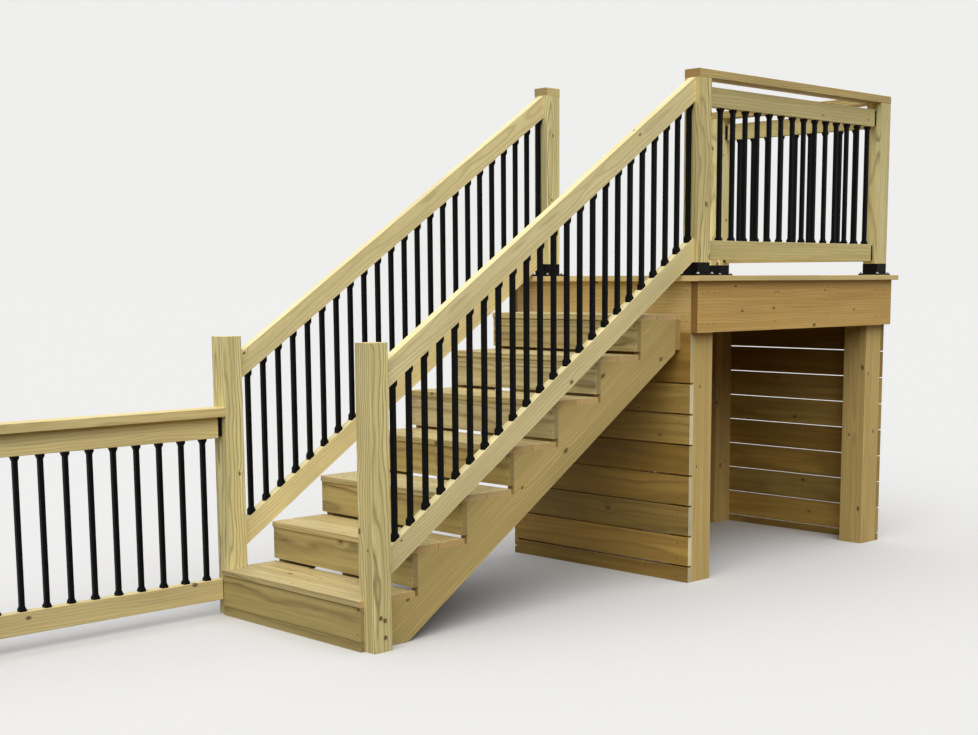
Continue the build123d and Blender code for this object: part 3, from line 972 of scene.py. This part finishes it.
@dataclass
class Landing:
    """Posts, rims, floor boards and closing boards of the landing."""

    joist_lines: tuple[float, ...] = (1955.0, 2094.8, 2519.1, 2943.5, 3367.8, 3507.5)
    board_count: int = 9
    board_pitch: float = 140.33
    board_insets: tuple[float, float] = (26.0, 110.0)
    skirt_low: float = 78.9
    skirt_pitch: float = 143.5
    skirt_count: int = 6
    skirt_middle: float = 67.7
    foot_screw: float = 20.0
    back_low: float = 39.5
    back_pitch: float = 141.5
    back_count: int = 8
    back_middle: float = 68.0
    lifts: tuple[float, float] = (-35.0, 35.0)
    leg_lines: tuple[float, float] = (-5.0, -1007.0)
    side_lines: tuple[float, float] = (2005.0, 3457.0)
    wall_out: float = -1097.4
    frame_rows: tuple[float, float] = (1222.0, 1362.0)
    header_lines: tuple[float, float] = (34.0, -1046.0)
    rim_lines: tuple[float, ...] = (1953.0, 1997.0, 2040.0, 2519.0, 2943.5, 3420.0, 3480.0)
    rims_out: tuple[float, float] = (98.1, -1110.1)

    def dress(self, shop: Workshop) -> None:
        """Give the landing's boards and posts their pine.

        Args:
            shop: The workshop with the CAD nodes.
        """
        floor = Cells((DECK_LEFT - 2.0, -3000, -1000), (self.board_pitch, 9000, 9000))
        skirt = Cells((-2000, -3000, self.skirt_low - self.skirt_pitch), (9000, 9000, self.skirt_pitch))
        walls = Cells((-2000, -3000, self.back_low - self.back_pitch), (9000, 9000, self.back_pitch))
        headers = Cells((-2000, 1000, -1000), (9000, 1800, 9000))
        rims = Cells((-2000, -3000, -1000), (1500, 9000, 9000))
        joists = Cells((-2000, 1880, -1000), (9000, 105, 9000))
        legs = Cells((-1512, 1280, -1000), (992, 1451, 9000))
        posts = [f"landing_post_{row}_{side}" for row in ("front", "back") for side in ("right", "left")]
        for names, pine, suffix, grain, cells in (
            (["landing_boards"], FLOOR_PINE, "boards", Grain.ALONG_Y, floor),
            # The closing boards and the walls take pine whose colours carry painted shade
            (["front_skirt"], SKIRT_PINE_WITH_PAINTED_SHADE, "skirt", Grain.ALONG_X, skirt),
            (["back_wall"], WALL_PINE_WITH_PAINTED_SHADE, "back_wall", Grain.ALONG_X, walls),
            (["left_wall"], WALL_PINE_WITH_PAINTED_SHADE, "left_wall", Grain.ALONG_Y, walls),
            (["front_header", "back_header"], HEADER_PINE, "headers", Grain.ALONG_X, headers),
            (["rim_right", "rim_left"], FACING_PINE, "rims", Grain.ALONG_Y, rims),
            (["landing_joists"], FRAME_PINE, "joists", Grain.ALONG_X, joists),
            (posts, LEG_PINE, "legs", Grain.ALONG_Z, legs),
        ):
            shop.saw(names, pine, suffix, grain, cells)

    def fasten(self, shop: Workshop, screw: bpy.types.Object) -> None:
        """Screw the floor, the rims, the headers and the closing boards down.

        Args:
            shop: The workshop with the repeater and coats.
            screw: The screw head that is repeated.
        """
        floor_spots = []
        for board in range(self.board_count):
            low = DECK_LEFT + board * self.board_pitch
            for y in self.joist_lines:
                for inset in self.board_insets:
                    floor_spots.append((place(low + inset, y, DECK_TOP), UP))
        floor_piece = shop.drive("landing_screws", floor_spots, screw, 7)
        facing_piece = shop.drive("facing_screws", self._skirt_spots() + self._facing_spots(), screw, 9)

    def _skirt_spots(self) -> Spots:
        """List the screws of the front boards, where the narrow board at the foot has one a leg.

        Returns:
            Each place with the way the head faces.
        """
        spots = []
        for x in self.leg_lines:
            spots.append((place(x, LANDING_FRONT, self.foot_screw), FRONT))
        for index in range(self.skirt_count):
            z = self.skirt_low + index * self.skirt_pitch + self.skirt_middle
            for x in self.leg_lines:
                for lift in self.lifts:
                    spots.append((place(x, LANDING_FRONT, z + lift), FRONT))
        return spots

    def _facing_spots(self) -> Spots:
        """List the screws of the walls, the headers and the rims.

        Returns:
            Each place with the way the head faces.
        """
        spots = []
        for index in range(self.back_count):
            z = self.back_low + index * self.back_pitch + self.back_middle
            for x in self.leg_lines:
                for lift in self.lifts:
                    spots.append((place(x, LANDING_BACK, z + lift), BACK))
            for y in self.side_lines:
                for lift in self.lifts:
                    spots.append((place(self.wall_out, y, z + lift), LEFT))
        for z in self.frame_rows:
            for x in self.header_lines:
                spots.append((place(x, LANDING_FRONT, z), FRONT))
                spots.append((place(x, LANDING_BACK, z), BACK))
            for y in self.rim_lines:
                # Hand-driven screws: some stray up and along, the others down and back
                stray = 12.0 if (y * z) % 2 else -9.0
                spots.append((place(self.rims_out[0], y + stray, z + stray), RIGHT))
                spots.append((place(self.rims_out[1], y + stray, z - stray), LEFT))
        return spots


@dataclass
class Rails:
    """Newels, guard posts, rails and caps."""

    bolt_places: tuple[tuple[float, float], ...] = ((72.9, 56.7), (71.4, 124.2), (51.4, 135.9))
    long_cap_lines: tuple[float, float] = (-8.0, 36.0)
    long_cap_ends: tuple[float, float] = (25.0, 30.0)
    cap_inset: float = 44.0
    post_cap_lines: tuple[float, float] = (-970.0, -925.0)
    corner_cap_lines: tuple[float, float] = (-1050.0, -1005.0)
    lower_cap_lines: tuple[float, float] = (-965.0, -928.0)
    lower_cap_rows: tuple[float, float] = (-1470.0, -1425.0)

    def dress(self, shop: Workshop) -> None:
        """Give posts and rails their pine, with the grain along each of them.

        Args:
            shop: The workshop with the CAD nodes.
        """
        uprights = ["newel_right", "newel_left", "lower_guard_post"]
        uprights += [f"guard_post_{row}_{side}" for row in ("stair", "corner") for side in ("right", "left")]
        sloping = [f"stair_{level}_rail_{side}" for level in ("top", "bottom") for side in ("right", "left")]
        posts = Cells((-1427.6, -2450, -1000), (962.1, 1000, 9000))
        level = Cells((-1427.6, -3000, 100), (962.1, 9000, 350))
        cross = Cells((-3000, -3000, 100), (9000, 9000, 350))
        slope = Cells((-1427.6, -1000, -600), (962.1, 9000, 350))
        caps = Cells((-1427.6, -3000, 400), (962.1, 9000, 962))
        for names, pine, suffix, grain, cells in (
            (uprights, POST_PINE, "guard_posts", Grain.ALONG_Z, posts),
            (["guard_rails_right"], GUARD_PINE, "long_rails", Grain.ALONG_Y, level),
            (["lower_guard_rails"], LOWER_PINE, "rails", Grain.ALONG_Y, level),
            (["guard_rails_back"], GUARD_PINE, "cross_rails", Grain.ALONG_X, cross),
            (sloping, RAIL_PINE, "sloping_rails", Grain.SLOPING, slope),
            (["lower_guard_cap"], LOWER_PINE, "cap", Grain.ALONG_Y, Cells()),
            (["guard_cap_right"], CAP_PINE, "long", Grain.ALONG_Y, caps),
            (["post_cap_left"], LOWER_PINE, "post_cap", Grain.ALONG_Y, caps),
            (["guard_cap_back"], CAP_PINE, "cross", Grain.ALONG_X, Cells()),
        ):
            shop.saw(names, pine, suffix, grain, cells)

    def fasten(self, shop: Workshop, screw: bpy.types.Object) -> None:
        """Bolt the newels to the flight and screw the caps to the posts.

        Args:
            shop: The workshop with the repeater and coats.
            screw: The screw head that is repeated.
        """
        bolt_spots = []
        for side, way in ((RIGHT_POST[1], RIGHT), (LEFT_POST[0], LEFT)):
            for y, z in self.bolt_places:
                bolt_spots.append((place(side, y, z), way))
        bolt = turned_shape("lag_shape", LAG_OUTLINE, BOLT_SIDES)
        bolts = shop.repeater.scatter("newel_bolts", bolt_spots, bolt, shop.coats["screw"], BOLT_TURN, 17)
        bpy.data.objects.remove(bolt)
        spots = []
        cap_top = DECK_TOP + GUARD_HIGH + RAIL_THICK
        for x in self.long_cap_lines:
            for y in (STAIR_POST[0] + self.long_cap_ends[0], BACK_POST[1] - self.long_cap_ends[1]):
                spots.append((place(x, y, cap_top), UP))
        for lines, post in ((self.corner_cap_lines, BACK_POST), (self.post_cap_lines, STAIR_POST)):
            for x in lines:
                spots.append((place(x, post[0] + self.cap_inset, cap_top), UP))
        for x in self.lower_cap_lines:
            for y in self.lower_cap_rows:
                spots.append((place(x, y, GUARD_HIGH), UP))
        piece = shop.drive("rail_screws", spots, screw, 11)


@dataclass
class Balusters:
    """Square black balusters, their connectors and the metal post bases."""

    stair_ends: tuple[float, float] = (56.1, 21.0)
    stair_count: int = 23
    rail_clear: float = 5.2
    rail_top: float = 830.1
    side_ends: tuple[float, float] = (119.0, 62.2)
    side_count: int = 14
    back_end: float = 95.1
    back_count: int = 9
    level_foot: float = 160.9
    level_drop: float = 34.0
    lower_clear: float = 1422.7
    lower_ends: tuple[float, float] = (90.0, 84.7)
    lower_count: int = 13
    lower_foot: float = 157.9
    lower_drop: float = 38.9
    collar_half: float = 14.0
    wedge_low: float = 8.0
    plate_half: float = 60.0
    plate_thick: float = 8.0
    plate_hole: float = 44.6
    plate_bevel: float = 3.0
    plate_clear: float = 0.2
    bolt_inset: float = 9.0

    def dress(self, shop: Workshop) -> None:
        """Give the balusters, brackets and bases their black coat.

        Args:
            shop: The workshop with the CAD nodes.
        """
        tubes = ["stair_balusters_right", "stair_balusters_left", "guard_balusters_right"]
        tubes += ["guard_balusters_back", "lower_guard_balusters"]
        shop.dress(tubes, shop.coats["tube"])
        shop.dress(["post_bases", "rail_brackets"], shop.coats["steel"])

    def stair_spots(self, middle: float) -> tuple[Spots, Spots]:
        """List the feet and heads of one side's sloping balusters.

        Args:
            middle: The side's distance across, in millimetres.

        Returns:
            The places at the foot and at the head of each baluster.
        """
        first, last = self.stair_ends
        pitch = (STAIR_POST[0] - NEWEL[1] - first - last) / (self.stair_count - 1)
        deep = RAIL_HIGH / math.cos(PITCH_ANGLE)
        feet, heads = [], []
        for index in range(self.stair_count):
            y = NEWEL[1] + first + index * pitch
            nosing = FIRST_RISE + SLOPE * (y + NOSING)
            feet.append((place(middle, y, nosing + self.rail_clear + deep), UP))
            heads.append((place(middle, y, nosing + self.rail_top - deep), UP))
        return feet, heads

    def level_spots(self) -> tuple[Spots, Spots]:
        """List the feet and heads of every upright baluster between level rails.

        Returns:
            The places at the foot and at the head of each baluster.
        """
        low, high = DECK_TOP + self.level_foot, DECK_TOP + GUARD_HIGH - self.level_drop - RAIL_HIGH
        first, last = self.side_ends
        side_pitch = (BACK_POST[0] - STAIR_POST[1] - first - last) / (self.side_count - 1)
        back_pitch = (RIGHT_POST[0] - CORNER_LEFT[1] - 2 * self.back_end) / (self.back_count - 1)
        back_middle = sum(BACK_POST) / 2
        lines = []
        for index in range(self.side_count):
            lines.append((RIGHT_MIDDLE, STAIR_POST[1] + first + index * side_pitch))
        for index in range(self.back_count):
            lines.append((CORNER_LEFT[1] + self.back_end + index * back_pitch, back_middle))
        feet = [(place(x, y, low), UP) for x, y in lines]
        heads = [(place(x, y, high), UP) for x, y in lines]
        first, last = self.lower_ends
        lower_pitch = (self.lower_clear - first - last) / (self.lower_count - 1)
        for index in range(self.lower_count):
            y = NEWEL[0] - first - index * lower_pitch
            feet.append((place(LEFT_MIDDLE, y, self.lower_foot), UP))
            heads.append((place(LEFT_MIDDLE, y, GUARD_HIGH - self.lower_drop - RAIL_HIGH), UP))
        return feet, heads

    def connectors(self, shop: Workshop) -> None:
        """Fit a square collar at each end of each baluster, wedge-shaped on the sloping rails.

        Args:
            shop: The workshop with the repeater and coats.
        """
        half = self.collar_half
        top = SLOPE * half + self.wedge_low
        wedge = [(half, 0), (half, top - 1.5), (half - 1.5, top), (11.6, top), (11.2, top + 6), (10, top + 7)]
        cup = [(half, 0), (half, 10.5), (half - 1.5, 12), (11.6, 12), (11.2, 18), (10, 19)]
        stair_feet, stair_heads = [], []
        for middle in (RIGHT_MIDDLE, LEFT_MIDDLE):
            feet, heads = self.stair_spots(middle)
            stair_feet += feet
            stair_heads += heads
        level_feet, level_heads = self.level_spots()
        for name, spots, rings, lean, hanging in (
            ("stair_feet_collars", stair_feet, wedge, SLOPE, False),
            ("stair_head_collars", stair_heads, wedge, SLOPE, True),
            ("level_feet_collars", level_feet, cup, 0.0, False),
            ("level_head_collars", level_heads, cup, 0.0, True),
        ):
            shape = collar_shape(name + "_shape", rings, lean, hanging)
            piece = shop.repeater.scatter(name, spots, shape, shop.coats["plastic"])
            bpy.data.objects.remove(shape)

    def bases(self, shop: Workshop) -> None:
        """Set a flanged plate with bolts and washers round the foot of each post on the landing.

        Args:
            shop: The workshop with the repeater and coats.
        """
        offset = self.plate_half - self.bolt_inset
        spots = []
        mesh = bmesh.new()
        for post_x, post_y in (
            (RIGHT_POST, STAIR_POST),
            (LEFT_POST, STAIR_POST),
            (RIGHT_POST, BACK_POST),
            (CORNER_LEFT, BACK_POST),
        ):
            x, y = sum(post_x) / 2, sum(post_y) / 2
            self._plate(mesh, x, y)
            for dx in (-offset, offset):
                for dy in (-offset, offset):
                    spots.append((place(x + dx, y + dy, DECK_TOP + self.plate_thick), UP))
        plates = new_piece("base_plates", mesh, shop.coats["steel"])
        LOG.info("%s: %d faces", plates.name, len(plates.data.polygons))
        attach(plates, BODY)
        bolt = turned_shape("bolt_shape", BOLT_OUTLINE, BOLT_SIDES)
        bolts = shop.repeater.scatter("base_bolts", spots, bolt, shop.coats["zinc"], BOLT_TURN, 13)
        bpy.data.objects.remove(bolt)

    def _plate(self, mesh: bmesh.types.BMesh, x: float, y: float) -> None:
        """Add one square collar with a bevelled rim around a post's foot.

        Args:
            mesh: The mesh that gets the collar.
            x: The post's middle across, in millimetres.
            y: The post's middle along, in millimetres.
        """
        inner, half, low, high = self.plate_hole, self.plate_half, self.plate_clear, self.plate_thick
        rim = [(half, high - self.plate_bevel), (half - self.plate_bevel, high)]
        rings = []
        for reach, z in [(inner, low), (half, low)] + rim + [(inner, high)]:
            corners = [(-reach, -reach), (reach, -reach), (reach, reach), (-reach, reach)]
            rings.append([mesh.verts.new(place(x + dx, y + dy, DECK_TOP + z)) for dx, dy in corners])
        bridge(mesh, rings + rings[:1])


@dataclass
class Studio:
    """Pale floor, soft light and the camera at the photograph's angle."""

    camera_inches: tuple[float, float, float] = (173.895, -138.117, 56.023)
    inch: float = 25.4
    yaw: float = 45.3
    tilt: float = -8.062
    roll: float = -0.213
    focal_px: float = 1496.154
    centre_px: tuple[float, float] = (520.0, 490.0)
    image: tuple[int, int] = (978, 735)
    sensor: float = 36.0
    clip: tuple[float, float] = (0.05, 200.0)
    reach: float = 400.0
    floor_drop: float = 0.0005
    floor_colour: str = "d3d1cd"
    bounce_colour: str = "54452e"
    sky_colour: str = "f6f9ff"
    backdrop_colour: str = "efefee"
    sky_from: float = 0.38
    sky_full: float = 0.9
    sky_strength: float = 1.6
    horizon_strength: float = 0.04
    key_from: tuple[float, float, float] = (0.52, -0.5, 0.71)
    key_strength: float = 2.1
    key_spread: float = 68.0

    def build(self) -> None:
        """Make the floor, the world, the lamp and the camera."""
        self._floor()
        self._world()
        self._lamp()
        self._camera()

    def _floor(self) -> None:
        """Lay a floor that looks pale and sends only a tan bounce of light back up."""
        mesh = bmesh.new()
        reach, low = self.reach, -self.floor_drop
        corners = [(-reach, -reach, low), (reach, -reach, low), (reach, reach, low), (-reach, reach, low)]
        mesh.faces.new([mesh.verts.new(corner) for corner in corners])
        material = bpy.data.materials.new("studio_floor")
        tree = fresh_tree(material)
        bounce = add(tree, "BsdfDiffuse", linear(self.bounce_colour))
        pale = add(tree, "BsdfDiffuse", linear(self.floor_colour))
        add(tree, "OutputMaterial", add(tree, "MixShader", self._seen(tree), bounce, pale))
        new_piece("studio_floor", mesh, material)

    @staticmethod
    def _seen(tree: bpy.types.NodeTree) -> Socket:
        """Say whether a ray comes from the camera, a gloss or a clear surface.

        Args:
            tree: The tree of the floor or the world.

        Returns:
            One for such a ray.
        """
        rays = add(tree, "LightPath").node.outputs
        shine = add(tree, "Math", rays["Is Glossy Ray"], rays["Is Transmission Ray"], operation="MAXIMUM")
        return add(tree, "Math", rays["Is Camera Ray"], shine, operation="MAXIMUM")

    def _world(self) -> None:
        """Light the studio like an overcast sky, brighter overhead, behind a pale backdrop."""
        world = bpy.data.worlds.new("studio_world")
        bpy.context.scene.world = world
        tree = fresh_tree(world)
        height = add(tree, "SeparateXYZ", add(tree, "TexCoord", out="Generated"), out=2)
        levels = (self.sky_from, self.sky_full, self.horizon_strength, self.sky_strength)
        sky = add(tree, "MapRange", height, *levels, interpolation_type="SMOOTHSTEP")
        light = add(tree, "Background", linear(self.sky_colour), sky)
        show = add(tree, "Background", linear(self.backdrop_colour), 1.0)
        add(tree, "OutputWorld", add(tree, "MixShader", self._seen(tree), light, show))

    def _lamp(self) -> None:
        """Shine one broad, soft lamp down from the right and a little in front."""
        data = bpy.data.lights.new("key", "SUN")
        data.angle = math.radians(self.key_spread)
        data.energy = self.key_strength
        lamp = bpy.data.objects.new("key", data)
        lamp.rotation_mode = "QUATERNION"
        lamp.rotation_quaternion = Vector(self.key_from).to_track_quat("Z", "Y")
        bpy.context.scene.collection.objects.link(lamp)

    def _camera(self) -> None:
        """Stand the camera where the fit to the photograph puts it."""
        yaw, tilt, roll = (math.radians(value) for value in (self.yaw, self.tilt, self.roll))
        forward = Vector((-math.sin(yaw) * math.cos(tilt), math.cos(yaw) * math.cos(tilt), math.sin(tilt)))
        level = Vector((math.cos(yaw), math.sin(yaw), 0))
        above = level.cross(forward)
        right = level * math.cos(roll) + above * math.sin(roll)
        up = above * math.cos(roll) - level * math.sin(roll)
        turn = Matrix((right, up, -forward)).transposed().to_4x4()
        data = bpy.data.cameras.new("camera")
        wide, high = self.image
        data.sensor_width = self.sensor
        data.lens = self.focal_px / wide * data.sensor_width
        data.shift_x = (wide / 2 - self.centre_px[0]) / wide
        data.shift_y = (self.centre_px[1] - high / 2) / wide
        data.clip_start, data.clip_end = self.clip
        camera = bpy.data.objects.new("camera", data)
        spot = place(*(self.inch * value for value in self.camera_inches))
        camera.matrix_world = Matrix.Translation(spot) @ turn
        bpy.context.scene.collection.objects.link(camera)
        bpy.context.scene.camera = camera


def main() -> None:
    """Build every sub-assembly in order and report each piece."""
    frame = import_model()
    bpy.context.scene.view_settings.view_transform = "Standard"
    coats = {
        "tube": BLACK_TUBE.material(),
        "steel": BLACK_STEEL.material(),
        "plastic": BLACK_PLASTIC.material(),
        "screw": BRONZE_SCREW.material(),
        "zinc": ZINC_BOLT.material(),
    }
    shop = Workshop(frame, Repeater(), coats)
    screw = turned_shape("screw_shape", SCREW_OUTLINE, SCREW_SIDES)
    flight, landing, rails, balusters = Flight(), Landing(), Rails(), Balusters()
    for assembly in (flight, landing, rails, balusters):
        assembly.dress(shop)
    for assembly in (flight, landing, rails):
        assembly.fasten(shop, screw)
    bpy.data.objects.remove(screw)
    balusters.connectors(shop)
    balusters.bases(shop)
    Studio().build()


if __name__ == "__main__":
    logging.basicConfig(level=logging.INFO, format="%(name)s: %(message)s")
    main()
